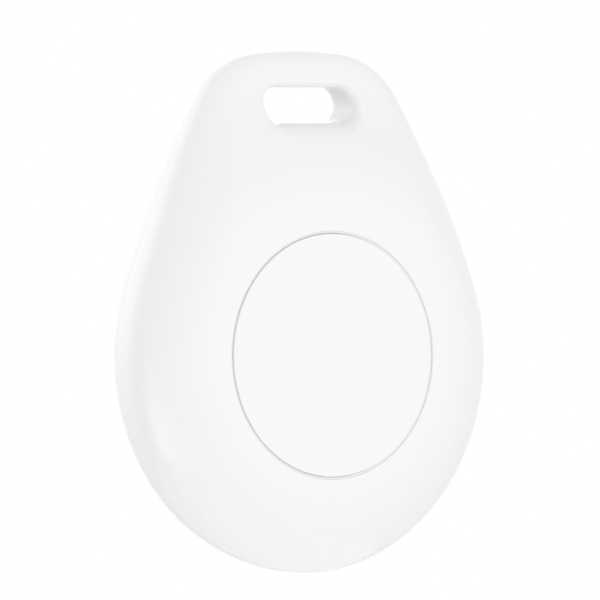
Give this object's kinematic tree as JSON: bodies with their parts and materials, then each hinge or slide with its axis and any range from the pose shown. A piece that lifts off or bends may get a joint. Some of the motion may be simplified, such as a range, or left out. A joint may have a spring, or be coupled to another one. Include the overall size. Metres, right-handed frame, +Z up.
{
  "type": "bluetooth tracker tag",
  "caption": "Teardrop key-finder tag with a keyring slot through its thin top, a round flush push button on the belly and a coin-turn battery door behind.",
  "frame": {"origin": "middle of the keyring slot's flat upper wall, halfway through the tab's thickness", "axes": "+Z up as the tag hangs from a keyring, button towards -Y, flat back towards +Y, +X to the right seen from the front"},
  "size_m": [0.0432, 0.0081, 0.052],
  "materials": {
    "white_shell": "glossy moulded white ABS",
    "grey_silicone": "matt silicone",
    "board_green": "green solder mask over glass-fibre board",
    "black_plastic": "matt moulded black",
    "steel": "nickel-plated steel",
    "gold_plate": "gold-plated spring bronze",
    "cathode": "pressed black powder",
    "ceramic": "fired ceramic",
    "ferrite": "moulded ferrite"
  },
  "bodies": {
    "housing": {"front_shell": "white_shell", "rear_cover": "white_shell", "cover_gasket": "grey_silicone", "button_seal": "grey_silicone", "circuit_board": "board_green", "board_screw_1": "steel", "board_screw_2": "steel", "board_screw_3": "steel", "switch_base": "black_plastic", "switch_frame": "steel", "battery_holder": "black_plastic", "positive_contact": "gold_plate", "negative_contact": "gold_plate", "cell_can": "steel", "cell_gasket": "black_plastic", "cell_cap": "steel", "cell_cathode": "cathode", "radio_chip": "black_plastic", "radio_crystal": "steel", "clock_crystal": "steel", "chip_antenna": "ceramic", "buzzer": "black_plastic", "power_inductor": "ferrite", "bulk_capacitor_1": "ceramic", "bulk_capacitor_2": "ceramic", "chip_capacitor_1": "ceramic", "chip_capacitor_2": "ceramic", "chip_capacitor_3": "ceramic", "chip_capacitor_4": "ceramic", "chip_resistor_1": "black_plastic", "chip_resistor_2": "black_plastic"},
    "button": {"button_cap": "white_shell"},
    "plunger": {"switch_plunger": "black_plastic"},
    "seal_ring": {"door_seal": "grey_silicone"},
    "door": {"battery_door": "white_shell"}
  },
  "joints": [
    {"name": "button_press", "type": "slide", "parent": "housing", "child": "button", "axis": [0, 1, 0], "range_m": [0, 0.00025], "stiffness_N_per_m": 8000},
    {"name": "plunger_press", "type": "slide", "parent": "housing", "child": "plunger", "axis": [0, 1, 0], "range_m": [0, 0.00025]},
    {"name": "door_rise", "type": "slide", "parent": "housing", "child": "seal_ring", "axis": [0, 1, 0], "range_m": [0, 0.0022]},
    {"name": "door_turn", "type": "hinge", "parent": "seal_ring", "child": "door", "pos_m": [0, 0.00205, -0.0266], "axis": [0, 1, 0], "range_deg": [0, 90]}
  ],
  "couplings": [
    {"joint": "plunger_press", "follows": "button_press", "ratio": 1},
    {"joint": "door_turn", "follows": "door_rise", "rad_per_m": 714.29}
  ]
}
